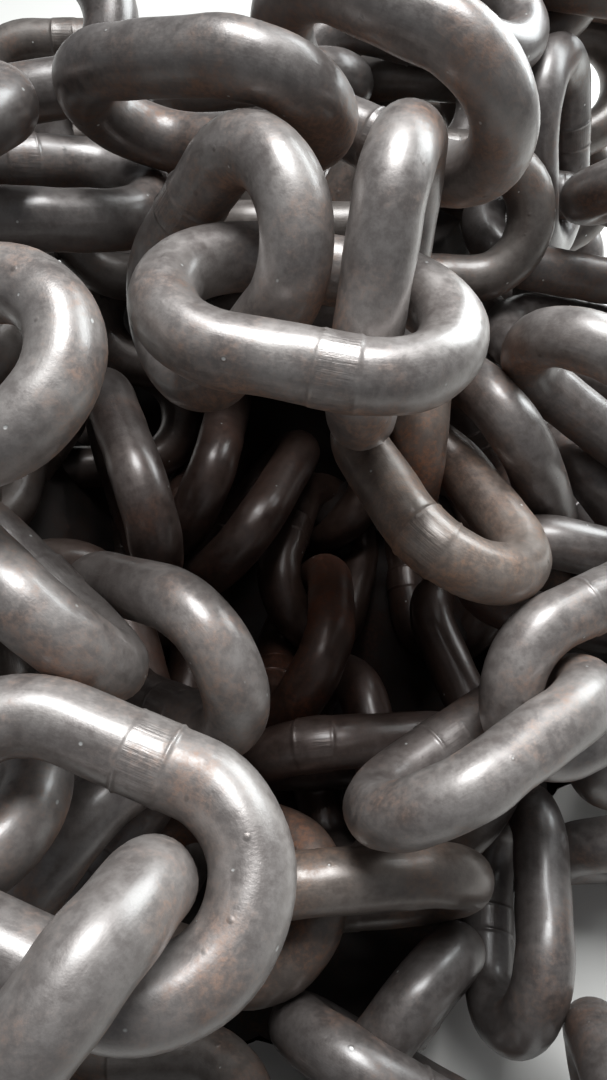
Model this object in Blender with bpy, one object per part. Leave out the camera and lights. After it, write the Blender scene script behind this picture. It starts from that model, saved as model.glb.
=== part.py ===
"""Heap of heavy short-link iron chain.

Welded links of round bar lie in a mound, some hooked through their neighbours and some
slack. Every link that shows is a solid of its own. The links buried in the middle are one
core: runs of chain that stand out of low mounds with a flat underside. X is the heap's
width, Y its depth, and the floor is Z = 0.
"""
import math

import bmesh
import bpy
import numpy as np
from mathutils import Matrix

# The link, in metres: a round bar bent to two half circles and two straight legs
BAR_DIAMETER = 0.026
INNER_LENGTH = 0.078
INNER_WIDTH = 0.036
BAR_SIDES = 8
BOW_STEPS = 6

# How links lie against each other, the core and the floor: the gap that the fit aims for,
# the gaps it leaves alone, and the gap within which two pieces count as touching
WANTED_GAP = 0.00032
CLEARANCE = 0.00028
SMALLEST_GAP = 0.0002
WIDEST_SEAT = 0.0004
TOUCHING = 0.0005
FLOOR_CLEARANCE = 0.0010

# How far buried links run into each other and the mounds, which makes them one solid
CORE_BITE = 0.0012

# The fit: its rounds of small moves, how far one move may go, how many link lengths round a
# link it looks, and the gap below which a gap is measured face to face
FIRST_SEATING = 60
SEAT_EVERY = 10
LARGEST_ROUND = 500
LARGEST_MOVE = 0.004
NEIGHBOUR_REACH = 1.15
MEASURED_GAP = 0.003

# The search for the direction with the widest space: directions that lean off in a ring,
# each ring closer in than the last
FAN_SIDES = 8
FAN_LEANS = tuple(math.radians(24) * 0.6 ** ring for ring in range(8))
NEARLY_UPRIGHT = 0.9
LOOKS_DOWN = -0.5
NEARLY_PARALLEL = 1e-12
NO_DISTANCE = 1e-9

# Places in the heap are counted in this step, and turns are in degrees
STEP = 0.005

# Each link by hand: centre x, y, z in steps, then heading, rise and roll in degrees
PLACED_LINKS = {
    "crest": [
        (0, 41.5, 58.5, -9, -3, -10),
        (-6.5, 51, 55, -178, -55, -33),
        (7, 49.5, 56.5, -104, -51, -88),
        (6, 62, 63, 146, 2, 87),
        (-8, 63, 60, 167, -21, 62),
        (14, 54, 37.5, 81, 3, 78),
    ],
    "left": [
        (-25, 35.5, 59, 180, -11, -18),
        (-21.5, 28, 48.5, 140, 10, 75),
        (-23.5, 63, 53.5, -155, 6, 16),
        (-33, 59, 62, 170, -10, 20),
        (-28.5, 80, 60, -170, 0, -35),
    ],
    "knoll": [
        (-13.5, 8, 50.5, 160, 3, 0),
        (-14.5, -2, 48, -131, -15, 79),
        (-28.5, 13.5, 43.5, 165, -10, 24),
        (-24, 10, 24, -160, -25, 65),
        (-13, 26, 35, 147, -34, -68),
    ],
    "right": [
        (13, 18, 33, -150, 19, 79),
        (27, 28, 34, 23, -13, 54),
        (27.5, 39, 26.5, 0, -15, 87),
        (15, 39, 37.5, -69, 17, -33),
        (28, 47.5, 39.5, -11, -28, -71),
        (20, 50, 31, -11, -56, -36),
        (33, 47, 16, -51, -53, -79),
    ],
    "far": [
        (33.5, 79.5, 32.5, 6, -14, -1),
        (33.5, 66, 31.5, -18, -1, -13),
        (29, 88, 41, -57, -64, 0),
        (41, 78.5, 40, 6, 5, -61),
        (15, 94, 57, 115, 10, 15),
    ],
    "front": [
        (20.5, 8.5, 7.5, 80, -33, -77),
        (8.5, -1, 7, -148, -47, 85),
        (9, -4.5, 13, -24, -17, 85),
        (4.5, 10.5, 21, 20, -20, -74),
        (5, 23.5, 12, 10, -20, -79),
        (-8, 13.5, 16.5, 174, -18, 11),
        (37, 14.5, 9.5, 5, -8, -88),
        (39.5, 26, 14, 22, -9, 57),
        (23, -7.5, 20.5, -88, 74, -73),
    ],
    "hollow": [
        (-17.5, 49, 29, -65, 5, 90),
        (-13, 56, 20, -100, 20, 65),
        (-6, 52, 17, -110, 15, 60),
        (2, 35, 10, -90, 35, 80),
        (4.5, 20, 8, -75, -20, 80),
    ],
    "loose_end": [
        (5, -21, 3, 0, 0, 0),
    ],
}

# Chain runs that lie over the flanks: a route in steps, the number of links, the first roll
FLANK_RUNS = {
    "back_top": ([(-28, 90, 42), (0, 92, 46), (26, 90, 42)], 3, 45),
    "back_foot": ([(-34, 104, 12), (0, 111, 12), (36, 102, 12)], 5, 40),
    "left_flank": ([(-48, -8, 12), (-51, 24, 20), (-50, 74, 16)], 5, 50),
    "front_foot": ([(-34, -19, 8), (-10, -22, 5)], 2, 20),
}

# Chain runs of the core, in the same form, on top of the mounds
BURIED_RUNS = {
    "floor_left": ([(-17, 12, 8), (-17, 74, 8)], 4, 40),
    "floor_middle": ([(3, 44, 8), (4, 76, 8)], 2, 50),
    "floor_right": ([(18, 11, 8), (18, 73, 8)], 4, -45),
    "hollow_back": ([(-22, 71, 29), (26, 71, 28)], 3, 30),
    "hollow_left": ([(-20, 23, 28), (-21, 39, 29)], 1, 20),
    "left_top": ([(-34, 12, 34), (-34, 82, 36)], 4, 45),
    "left_high": ([(-42, 42, 44), (-38, 90, 42)], 3, 40),
    "back_slope": ([(-24, 74, 40), (22, 74, 40)], 3, 55),
    "back_low": ([(-38, 100, 26), (38, 98, 26)], 5, 45),
    "back_high": ([(-38, 101, 39), (40, 101, 40)], 5, 35),
    "back_crest": ([(14, 101, 51), (44, 99, 50)], 2, 60),
    "right_flank": ([(45, 22, 10), (44, 84, 10)], 4, 40),
    "knoll_low": ([(-38, -8, 22), (-8, -8, 22)], 2, 50),
    "right_inner": ([(24, 60, 19), (27, 91, 19)], 2, 35),
}

# The mounds of the core: low, round-cornered and running together, each as
# centre x, y, then half width and half depth at the foot and at the top, and the height
CORE_MOUNDS = {
    "plinth": (0, 40, 34, 46, 32, 44, 2.4),
    "left_ridge": (-33, 30, 16, 48, 6, 30, 28),
    "back_ridge": (-2, 84, 36, 21, 22, 8, 34),
    "knoll": (-24, -4, 18, 14, 7, 5, 20),
    "right_mound": (36, 46, 14, 24, 5, 12, 10),
}
MOUND_SIDES = 12
MOUND_BURIAL = 0.010

# Finishes: base colour, roughness and metallic value
FINISHES = {
    "oiled_iron": ((0.16, 0.15, 0.15, 1.0), 0.42, 0.85),
    "rusty_iron": ((0.30, 0.17, 0.11, 1.0), 0.62, 0.60),
    "buried_iron": ((0.05, 0.04, 0.04, 1.0), 0.80, 0.50),
}
RUSTY_LINKS = ("front_link_6", "hollow_link_4", "crest_link_6")

COLLECTION = "iron_chain_heap"
bar_radius = BAR_DIAMETER / 2
bow_radius = (INNER_WIDTH + BAR_DIAMETER) / 2
half_straight = (INNER_LENGTH - INNER_WIDTH) / 2
turning_arm = half_straight + bow_radius / 2
# The faceted bar holds the same section area as the round one
section_radius = bar_radius * math.sqrt(2 * math.pi / (BAR_SIDES * math.sin(2 * math.pi / BAR_SIDES)))


def clear_scene():
    """Remove whatever the file opened with."""
    for thing in list(bpy.data.objects):
        bpy.data.objects.remove(thing, do_unlink=True)


def finish(name):
    """A Principled material for one finish."""
    material = bpy.data.materials.get(name)
    if material is None:
        colour, roughness, metallic = FINISHES[name]
        material = bpy.data.materials.new(name)
        material.use_nodes = True
        shader = material.node_tree.nodes["Principled BSDF"]
        shader.inputs["Base Color"].default_value = colour
        shader.inputs["Roughness"].default_value = roughness
        shader.inputs["Metallic"].default_value = metallic
    return material


def link_outline():
    """Centreline of a link: two half circles joined by straight legs, in its own XY plane."""
    points = []
    for side in (1, -1):
        for step in range(BOW_STEPS + 1):
            angle = math.pi * (step / BOW_STEPS - 0.5)
            points.append((side * (half_straight + bow_radius * math.cos(angle)),
                           side * bow_radius * math.sin(angle), 0.0))
    return points


def link_mesh():
    """The welded link: a closed curve with a round bar's bevel, turned into a mesh."""
    outline = link_outline()
    curve = bpy.data.curves.new("link_centreline", "CURVE")
    curve.dimensions = "3D"
    curve.bevel_depth = section_radius
    curve.bevel_resolution = BAR_SIDES // 2 - 2
    spline = curve.splines.new("POLY")
    spline.points.add(len(outline) - 1)
    for point, place in zip(spline.points, outline):
        point.co = (*place, 1.0)
    spline.use_cyclic_u = True
    guide = bpy.data.objects.new("link_centreline", curve)
    bpy.context.scene.collection.objects.link(guide)
    bpy.context.view_layer.update()
    evaluated = guide.evaluated_get(bpy.context.evaluated_depsgraph_get())
    mesh = bpy.data.meshes.new_from_object(evaluated)
    bpy.data.objects.remove(guide, do_unlink=True)
    mesh.shade_smooth()
    return mesh


def pose_matrix(heading, rise, roll):
    """Turn of a link: its long axis to a heading and rise, then its flat about that axis."""
    return (Matrix.Rotation(math.radians(heading), 3, "Z")
            @ Matrix.Rotation(-math.radians(rise), 3, "Y")
            @ Matrix.Rotation(math.radians(roll), 3, "X"))


def along_route(route, distance):
    """Point at a distance along a route of straight stretches."""
    for start, end in zip(route, route[1:]):
        stretch = np.linalg.norm(end - start)
        if distance <= stretch:
            return start + (end - start) * distance / stretch
        distance -= stretch
    return route[-1] + (route[-1] - route[-2]) / np.linalg.norm(route[-1] - route[-2]) * distance


def placed_links():
    """Name, centre and turn of every link placed by hand."""
    for group, rows in PLACED_LINKS.items():
        for number, (x, y, z, heading, rise, roll) in enumerate(rows, start=1):
            turn = np.array(pose_matrix(heading, rise, roll))
            yield f"{group}_link_{number}", np.array((x, y, z)) * STEP, turn


def run_links(runs, pitch):
    """Name, centre and turn of every link of some chain runs."""
    for group, (route, count, first_roll) in runs.items():
        route = np.array(route, dtype=float) * STEP
        for number in range(count):
            start = along_route(route, number * pitch)
            end = along_route(route, (number + 1) * pitch)
            run = (end - start) / np.linalg.norm(end - start)
            heading = math.degrees(math.atan2(run[1], run[0]))
            rise = math.degrees(math.asin(run[2]))
            roll = first_roll - 90 * (number % 2)
            turn = np.array(pose_matrix(heading, rise, roll))
            yield f"{group}_link_{number + 1}", (start + end) / 2, turn


def mound_mesh(row):
    """One mound of the core as a bmesh: a cone with a flat top, its foot below the floor."""
    x, y, foot_x, foot_y, top_x, top_y, height = (value * STEP for value in row)
    shape = bmesh.new()
    bmesh.ops.create_cone(shape, cap_ends=True, segments=MOUND_SIDES, radius1=1.0, radius2=1.0, depth=1.0)
    slope_x = (foot_x - top_x) / height
    slope_y = (foot_y - top_y) / height
    for vertex in shape.verts:
        top = vertex.co.z > 0
        reach_x = top_x if top else foot_x + slope_x * MOUND_BURIAL
        reach_y = top_y if top else foot_y + slope_y * MOUND_BURIAL
        vertex.co.x = x + vertex.co.x * reach_x
        vertex.co.y = y + vertex.co.y * reach_y
        vertex.co.z = height if top else -MOUND_BURIAL
    return shape


def core_walls():
    """Outward directions and corners of each mound, and the floor as a corner with one direction."""
    walls = []
    for row in CORE_MOUNDS.values():
        shape = mound_mesh(row)
        shape.normal_update()
        meetings = [[face] for face in shape.faces]
        meetings += [list(edge.link_faces) for edge in shape.edges]
        meetings += [list(corner.link_faces) for corner in shape.verts]
        normals = np.array([np.sum([face.normal for face in faces], axis=0) for faces in meetings
                            if min(face.normal.z for face in faces) > LOOKS_DOWN])
        normals /= np.linalg.norm(normals, axis=1)[:, None]
        walls.append((normals, np.array([corner.co for corner in shape.verts])))
        shape.free()
    floor = (np.array([[0.0, 0.0, 1.0]]), np.array([[0.0, 0.0, FLOOR_CLEARANCE - CLEARANCE]]))
    return walls + [floor]


def closest_on_segments(start_a, end_a, start_b, end_b):
    """Closest points of pairs of straight segments, for whole arrays at once."""
    run_a, run_b, between = end_a - start_a, end_b - start_b, start_a - start_b
    aa = (run_a * run_a).sum(-1)
    bb = (run_b * run_b).sum(-1)
    ab = (run_a * run_b).sum(-1)
    ac = (run_a * between).sum(-1)
    bc = (run_b * between).sum(-1)
    spread = np.maximum(aa * bb - ab * ab, NEARLY_PARALLEL * aa * bb)
    share_a = np.clip((ab * bc - bb * ac) / spread, 0, 1)
    share_b = np.clip((ab * share_a + bc) / bb, 0, 1)
    share_a = np.clip((ab * share_b - ac) / aa, 0, 1)
    return start_a + share_a[..., None] * run_a, start_b + share_b[..., None] * run_b


def direction_fan(directions, lean):
    """Each direction, with a ring of others that lean from it."""
    helper = np.where(np.abs(directions[:, 2:]) < NEARLY_UPRIGHT, [[0.0, 0.0, 1.0]], [[1.0, 0.0, 0.0]])
    across = np.cross(directions, helper)
    across /= np.linalg.norm(across, axis=1)[:, None]
    along = np.cross(directions, across)
    round_ring = 2 * math.pi * np.arange(FAN_SIDES) / FAN_SIDES
    sideways = (np.cos(round_ring)[:, None] * across[:, None]
                + np.sin(round_ring)[:, None] * along[:, None])
    leaning = math.cos(lean) * directions[:, None] + math.sin(lean) * sideways
    return np.concatenate([directions[:, None], leaning], axis=1)


def widest_space(solid_a, solid_b, direction):
    """Widest space between pairs of convex lengths of bar, seen along directions near a first one."""
    rows = np.arange(len(direction))
    for lean in FAN_LEANS:
        fan = direction_fan(direction, lean)
        top_a = np.einsum("kvi,kfi->kfv", solid_a, fan).max(axis=2)
        low_b = np.einsum("kvi,kfi->kfv", solid_b, fan).min(axis=2)
        widest = (low_b - top_a).argmax(axis=1)
        direction = fan[rows, widest]
    return (low_b - top_a)[rows, widest], direction


def bar_prisms(rings, centres, turns):
    """The lengths of bar of every link, each between two rings, and the rings' middles."""
    world = np.einsum("nij,rsj->nrsi", turns, rings) + centres[:, None, None, :]
    return np.concatenate([world, np.roll(world, -1, axis=1)], axis=2), world.mean(axis=2)


def link_contacts(prisms, middles, pairs):
    """Smallest gap of each pair of links, with its direction and the point on each centreline."""
    first, second = pairs.T
    ends = np.roll(middles, -1, axis=1)
    halfway = (middles + ends) / 2
    half_length = np.linalg.norm(ends[0] - middles[0], axis=1) / 2
    reach = half_length[:, None] + half_length + 2 * section_radius + BAR_DIAMETER
    apart = np.linalg.norm(halfway[first][:, :, None] - halfway[second][:, None], axis=-1)
    pair, piece_a, piece_b = np.nonzero(apart < reach)
    one, other = first[pair], second[pair]
    on_a, on_b = closest_on_segments(middles[one, piece_a], ends[one, piece_a],
                                     middles[other, piece_b], ends[other, piece_b])
    span = on_b - on_a
    distance = np.linalg.norm(span, axis=1)
    direction = span / np.maximum(distance, NO_DISTANCE)[:, None]
    gap = distance - 2 * section_radius
    near = np.nonzero(gap < MEASURED_GAP)[0]
    gap[near], direction[near] = widest_space(
        prisms[one[near], piece_a[near]], prisms[other[near], piece_b[near]], direction[near])
    order = np.argsort(gap, kind="stable")
    found, place = np.unique(pair[order], return_index=True)
    best = order[place]
    smallest = np.full(len(pairs), np.inf)
    smallest[found] = gap[best]
    index = np.zeros(len(pairs), dtype=int)
    index[found] = best
    return smallest, direction[index], on_a[index], on_b[index]


def wall_contacts(prisms, walls):
    """Gap, direction and meeting point of each link with each mound and, last, the floor."""
    rows = np.arange(len(prisms))
    gaps, directions, points = [], [], []
    for normals, corners in walls:
        offsets = (normals @ corners.T).max(axis=1)
        lowest = (prisms @ normals.T - offsets).min(axis=2)
        direction = normals[lowest.argmax(axis=2)]
        space = lowest.max(axis=2)
        link, piece = np.nonzero(space < MEASURED_GAP)
        if len(normals) > 1 and len(link):
            solid = np.broadcast_to(corners, (len(link), *corners.shape))
            space[link, piece], direction[link, piece] = widest_space(
                solid, prisms[link, piece], direction[link, piece])
        piece = space.argmin(axis=1)
        direction = direction[rows, piece]
        corner = np.einsum("nvi,ni->nv", prisms[rows, piece], direction).argmin(axis=1)
        gaps.append(space[rows, piece])
        directions.append(direction)
        points.append(prisms[rows, piece, corner])
    return np.array(gaps), np.array(directions), np.array(points)


def joined_groups(count, joins):
    """Group number of each of the links and, last, of the core."""
    group = np.arange(count + 1)
    for one, other in joins:
        group[group == group[one]] = group[other]
    return group


def seats_to_close(gap, pairs, core_gap, count):
    """For each group of links that is joined to nothing else, the gap that is shortest to close."""
    joins = [tuple(pair) for pair, space in zip(pairs, gap) if space < TOUCHING]
    joins += [(link, count) for link, space in enumerate(core_gap) if space < TOUCHING]
    group = joined_groups(count, joins)
    link_seats, core_seats = set(), set()
    for loose in set(group) - {group[count]}:
        inside = group[:count] == loose
        crossing = np.where(inside[pairs[:, 0]] != inside[pairs[:, 1]], gap, np.inf)
        to_core = np.where(inside, core_gap, np.inf)
        if crossing.min() < to_core.min():
            link_seats.add(int(crossing.argmin()))
        else:
            core_seats.add(int(to_core.argmin()))
    return link_seats, core_seats


class Moves:
    """Small shifts and spins of the links, gathered over one round of the fit."""

    def __init__(self, centres):
        self.centres = centres
        self.shifts = np.zeros_like(centres)
        self.spins = np.zeros_like(centres)
        self.shares = np.zeros(len(centres))

    def push(self, link, point, direction, amount):
        """Move one link so that its material at a point goes an amount along a direction."""
        lever = np.cross(point - self.centres[link], direction) / turning_arm
        amount /= 1 + lever @ lever
        self.shifts[link] += direction * amount
        self.spins[link] += lever / turning_arm * amount
        self.shares[link] += 1

    def apply(self, turns):
        """New centres and turns, each link's moves eased by the root of their number."""
        ease = np.sqrt(np.maximum(self.shares, 1))[:, None]
        spins = self.spins / ease
        new_turns = turns.copy()
        for link in np.nonzero(np.abs(spins).sum(axis=1))[0]:
            angle = float(np.linalg.norm(spins[link]))
            new_turns[link] = np.array(Matrix.Rotation(angle, 3, spins[link])) @ turns[link]
        return self.centres + self.shifts / ease, new_turns


def closing_move(gap, seated):
    """How far a gap is from its wanted size: above zero to open it, below zero to close it."""
    if gap < CLEARANCE or (seated and gap > WIDEST_SEAT):
        return float(np.clip(WANTED_GAP - gap, -LARGEST_MOVE, LARGEST_MOVE))
    return 0.0


def fit_links(rings, centres, turns):
    """Ease the links apart where their bars cross, and close each loose link onto its seat."""
    count = len(centres)
    walls = core_walls()
    pairs = np.array(np.triu_indices(count, 1)).T
    apart = np.linalg.norm(centres[pairs[:, 0]] - centres[pairs[:, 1]], axis=1)
    pairs = pairs[apart < NEIGHBOUR_REACH * (INNER_LENGTH + 2 * BAR_DIAMETER)]
    seats, core_seats = set(), set()
    for round_number in range(LARGEST_ROUND):
        prisms, middles = bar_prisms(rings, centres, turns)
        gap, direction, on_a, on_b = link_contacts(prisms, middles, pairs)
        wall_gap, wall_direction, wall_point = wall_contacts(prisms, walls)
        mound_gap = wall_gap[:-1]
        if round_number >= FIRST_SEATING and round_number % SEAT_EVERY == 0:
            more, more_core = seats_to_close(gap, pairs, mound_gap.min(axis=0), count)
            smallest = min(gap.min(), wall_gap.min())
            if not more and not more_core and smallest > SMALLEST_GAP:
                break
            seats |= more
            core_seats |= more_core
        moves = Moves(centres)
        for number, (one, other) in enumerate(pairs):
            amount = closing_move(gap[number], number in seats) / 2
            if amount:
                moves.push(one, on_a[number], direction[number], -amount)
                moves.push(other, on_b[number], direction[number], amount)
        for link in range(count):
            nearest = mound_gap[:, link].argmin()
            for wall in range(len(walls)):
                seated = link in core_seats and wall == nearest
                amount = closing_move(wall_gap[wall, link], seated)
                if amount:
                    moves.push(link, wall_point[wall, link], wall_direction[wall, link], amount)
        centres, turns = moves.apply(turns)
    return centres, turns


def fit_core_links(rings, centres, turns, still_centres, still_turns):
    """Ease the core's links clear of the still ones, and keep each joined to the core.

    They bite into each other and the mounds, so their gaps are counted from that bite.
    """
    count, still = len(centres), len(still_centres)
    walls = core_walls()
    every_centre = np.concatenate((centres, still_centres))
    pairs = np.array(np.triu_indices(count + still, 1)).T
    pairs = pairs[pairs[:, 0] < count]
    apart = np.linalg.norm(every_centre[pairs[:, 0]] - every_centre[pairs[:, 1]], axis=1)
    pairs = pairs[apart < NEIGHBOUR_REACH * (INNER_LENGTH + 2 * BAR_DIAMETER)]
    inside = pairs[:, 1] < count
    seats, core_seats = set(), set()
    for round_number in range(LARGEST_ROUND):
        prisms, middles = bar_prisms(
            rings, np.concatenate((centres, still_centres)), np.concatenate((turns, still_turns)))
        gap, direction, on_a, on_b = link_contacts(prisms, middles, pairs)
        wall_gap, wall_direction, wall_point = wall_contacts(prisms[:count], walls)
        gap = gap + CORE_BITE * inside
        mound_gap = wall_gap[:-1] + CORE_BITE
        if round_number >= FIRST_SEATING and round_number % SEAT_EVERY == 0:
            joinable = np.nonzero(inside)[0]
            more, more_core = seats_to_close(gap[joinable], pairs[joinable], mound_gap.min(axis=0), count)
            more = {int(joinable[number]) for number in more}
            smallest = min(gap[~inside].min(), wall_gap[-1].min())
            if not more and not more_core and smallest > SMALLEST_GAP:
                break
            seats |= more
            core_seats |= more_core
        moves = Moves(centres)
        for number, (one, other) in enumerate(pairs):
            amount = closing_move(gap[number], number in seats)
            if amount and inside[number]:
                moves.push(one, on_a[number], direction[number], -amount / 2)
                moves.push(other, on_b[number], direction[number], amount / 2)
            elif amount:
                moves.push(one, on_a[number], direction[number], -amount)
        for link in range(count):
            nearest = mound_gap[:, link].argmin()
            if link in core_seats and mound_gap[nearest, link] > WIDEST_SEAT:
                moves.push(link, wall_point[nearest, link], wall_direction[nearest, link],
                           closing_move(mound_gap[nearest, link], True))
            lift = closing_move(wall_gap[-1, link], False)
            if lift:
                moves.push(link, wall_point[-1, link], wall_direction[-1, link], lift)
        centres, turns = moves.apply(turns)
    return centres, turns


def add_core(collection, link_shape, centres, turns):
    """The buried middle of the heap: mounds and links joined, and cut off flat at the floor."""
    mounds = []
    for name, row in CORE_MOUNDS.items():
        shape = mound_mesh(row)
        mesh = bpy.data.meshes.new(name)
        shape.to_mesh(mesh)
        shape.free()
        mounds.append(bpy.data.objects.new(name, mesh))
    links = []
    for number, (centre, turn) in enumerate(zip(centres, turns), start=1):
        link = bpy.data.objects.new(f"core_link_{number}", link_shape)
        link.matrix_world = Matrix.Translation(centre.tolist()) @ Matrix(turn.tolist()).to_4x4()
        links.append(link)
    core = mounds[0]
    core.name = "buried_core"
    collection.objects.link(core)
    cutters = bpy.data.collections.new("core_cutters")
    bpy.context.scene.collection.children.link(cutters)
    joined = bpy.data.collections.new("core_joined")
    cutters.children.link(joined)
    for piece in mounds[1:] + links:
        joined.objects.link(piece)
    join = core.modifiers.new("join_mounds_and_links", "BOOLEAN")
    join.operation = "UNION"
    join.operand_type = "COLLECTION"
    join.collection = joined
    below = bmesh.new()
    bmesh.ops.create_cube(below, size=1.0)
    farthest = STEP * max(abs(row[axis]) + row[axis + 2] for row in CORE_MOUNDS.values() for axis in (0, 1))
    for vertex in below.verts:
        vertex.co.x *= 4 * farthest
        vertex.co.y *= 4 * farthest
        vertex.co.z = 0.0 if vertex.co.z > 0 else -3 * MOUND_BURIAL
    mesh = bpy.data.meshes.new("below_floor")
    below.to_mesh(mesh)
    below.free()
    floor_cutter = bpy.data.objects.new("below_floor", mesh)
    cutters.objects.link(floor_cutter)
    cut = core.modifiers.new("flat_underside", "BOOLEAN")
    cut.operation = "DIFFERENCE"
    cut.object = floor_cutter
    for cutter in cutters.all_objects:
        cutter.hide_render = True
        cutter.display_type = "WIRE"
    core.data.materials.append(finish("buried_iron"))
    return cutters


def heap_middle(prisms):
    """Middle of the heap's outline in plan, from the links and the feet of the mounds."""
    corners = [prisms.reshape(-1, 3)[:, :2]]
    for x, y, foot_x, foot_y, *_ in CORE_MOUNDS.values():
        corners.append(np.array([(x - foot_x, y - foot_y), (x + foot_x, y + foot_y)]) * STEP)
    corners = np.concatenate(corners)
    return (corners.min(axis=0) + corners.max(axis=0)) / 2


def build():
    """Model the whole heap."""
    clear_scene()
    collection = bpy.data.collections.new(COLLECTION)
    bpy.context.scene.collection.children.link(collection)
    mesh = link_mesh()
    mesh.materials.append(finish("oiled_iron"))
    rings = np.array([vertex.co for vertex in mesh.vertices]).reshape(-1, BAR_SIDES, 3)
    names, centres, turns = zip(*placed_links(), *run_links(FLANK_RUNS, INNER_LENGTH))
    centres, turns = fit_links(rings, np.array(centres), np.array(turns))
    for name, centre, turn in zip(names, centres, turns):
        link = bpy.data.objects.new(name, mesh)
        link.matrix_world = Matrix.Translation(centre.tolist()) @ Matrix(turn.tolist()).to_4x4()
        collection.objects.link(link)
        if name in RUSTY_LINKS:
            link.material_slots[0].link = "OBJECT"
            link.material_slots[0].material = finish("rusty_iron")
    _, core_centres, core_turns = zip(*run_links(BURIED_RUNS, INNER_LENGTH - CORE_BITE))
    core_centres, core_turns = fit_core_links(
        rings, np.array(core_centres), np.array(core_turns), centres, turns)
    cutters = add_core(collection, mesh, core_centres, core_turns)
    every_link = bar_prisms(rings, np.concatenate((centres, core_centres)),
                            np.concatenate((turns, core_turns)))[0]
    middle_x, middle_y = heap_middle(every_link)
    heap_origin = bpy.data.objects.new("heap_origin", None)
    heap_origin.location = (-middle_x, -middle_y, 0.0)
    collection.objects.link(heap_origin)
    for piece in [*collection.objects, *cutters.all_objects]:
        if piece is not heap_origin:
            piece.parent = heap_origin


build()
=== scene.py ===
# %% [markdown]
# A heap of heavy iron chain
#
# The real thing is a mound of welded short-link chain: round bar, cut, bent to an oval and
# closed with one butt weld. Nothing else is in it. So the whole lesson is about one shape,
# the link, made well many times, and about one kind of surface, dark mill scale that oil has
# turned satin and damp has turned brown.
#
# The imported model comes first. It fixes where every link lies, so the looks are built round
# it and nothing has to be fitted afterwards.

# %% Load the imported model
import math

import bpy
import numpy as np
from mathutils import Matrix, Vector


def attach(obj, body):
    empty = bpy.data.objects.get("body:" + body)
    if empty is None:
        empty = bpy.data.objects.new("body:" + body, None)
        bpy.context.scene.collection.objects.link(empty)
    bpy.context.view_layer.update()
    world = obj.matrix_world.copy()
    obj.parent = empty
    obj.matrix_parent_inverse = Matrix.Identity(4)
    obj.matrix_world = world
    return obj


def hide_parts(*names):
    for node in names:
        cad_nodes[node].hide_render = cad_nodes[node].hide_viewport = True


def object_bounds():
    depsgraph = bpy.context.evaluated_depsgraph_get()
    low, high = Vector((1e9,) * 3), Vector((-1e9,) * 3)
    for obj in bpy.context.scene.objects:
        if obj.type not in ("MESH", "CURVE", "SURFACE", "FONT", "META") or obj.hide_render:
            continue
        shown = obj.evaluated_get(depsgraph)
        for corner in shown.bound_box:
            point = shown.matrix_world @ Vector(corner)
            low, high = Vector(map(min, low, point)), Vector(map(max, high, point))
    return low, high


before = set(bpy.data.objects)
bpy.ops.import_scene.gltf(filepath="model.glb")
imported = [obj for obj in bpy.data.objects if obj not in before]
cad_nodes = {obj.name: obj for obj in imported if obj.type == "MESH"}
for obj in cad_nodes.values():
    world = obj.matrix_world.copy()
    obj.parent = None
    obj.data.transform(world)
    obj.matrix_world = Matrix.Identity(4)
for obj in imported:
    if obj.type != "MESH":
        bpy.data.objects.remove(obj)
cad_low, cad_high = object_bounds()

link_names = sorted(name for name in cad_nodes if "_link_" in name)
print(f"{len(link_names)} links, heap of {cad_high.x - cad_low.x:.3f} x {cad_high.y - cad_low.y:.3f} m")

# %% [markdown]
# The camera
#
# The photo looks steeply down into the heap from close by, as a phone does that is held over
# it. Its place was found by matching the width of the bars, which are all alike: a bar that is
# half as far looks twice as thick. A wide lens keeps that strong perspective.

# %% Camera over the front of the heap
LAYOUT_ORIGIN = (0.00928, -0.21708, 0.0)
CAMERA_HEIGHT = 0.500
CAMERA_PITCH = math.radians(30)
LENS_MM = 27
SENSOR_MM = 36

camera_data = bpy.data.cameras.new("camera")
camera_data.lens = LENS_MM
camera_data.sensor_width = SENSOR_MM
camera_data.clip_start = 0.01
camera = bpy.data.objects.new("camera", camera_data)
camera.location = (LAYOUT_ORIGIN[0], LAYOUT_ORIGIN[1], CAMERA_HEIGHT)
camera.rotation_euler = (CAMERA_PITCH, 0, 0)
bpy.context.scene.collection.objects.link(camera)
bpy.context.scene.camera = camera
print("camera at", tuple(camera.location))

# %% [markdown]
# What one link measures
#
# Short-link chain has fixed proportions: the bar's diameter sets the pitch, three diameters,
# and the inner width, about one and a half. The centreline is a running track: two straight
# legs and two half circles. Everything on the link is placed by the distance along this track,
# measured from the middle of the weld, so the same numbers later steer the finish.

# %% Link sizes and the track
BAR_DIAMETER = 0.026
INNER_LENGTH = 0.078
INNER_WIDTH = 0.036

bar_radius = BAR_DIAMETER / 2
bow_radius = (INNER_WIDTH + BAR_DIAMETER) / 2
leg_length = INNER_LENGTH - INNER_WIDTH
bow_length = math.pi * bow_radius
track_length = 2 * (leg_length + bow_length)


def track(distance):
    """Points on a link's centreline, in its own plane, and the outward direction at each."""
    place = np.mod(distance + leg_length / 2, track_length)
    half = np.where(place < leg_length + bow_length, 1.0, -1.0)
    place = np.where(half > 0, place, place - leg_length - bow_length)
    turn = math.pi / 2 - np.maximum(place - leg_length, 0) / bow_radius
    out = np.stack((np.cos(turn), np.sin(turn)), axis=-1)
    along = np.minimum(place, leg_length) - leg_length / 2
    points = bow_radius * out
    points[..., 0] += along
    return points * half[..., None], out * half[..., None]


print(f"a link's bar is {1000 * track_length:.0f} mm long before it is bent")

# %% [markdown]
# Where each link lies
#
# A packed link is a plain solid of eight-sided bar, and its place is in its vertices. Its
# three axes can be read back from them: a link is longest along its legs, narrower across
# them and flattest through its plane, so the directions of most, middle and least spread are
# its axes. The signs are then chosen so that they never depend on rounding.

# %% Read the pose of every link
EYE = np.array(camera.location)


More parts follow.
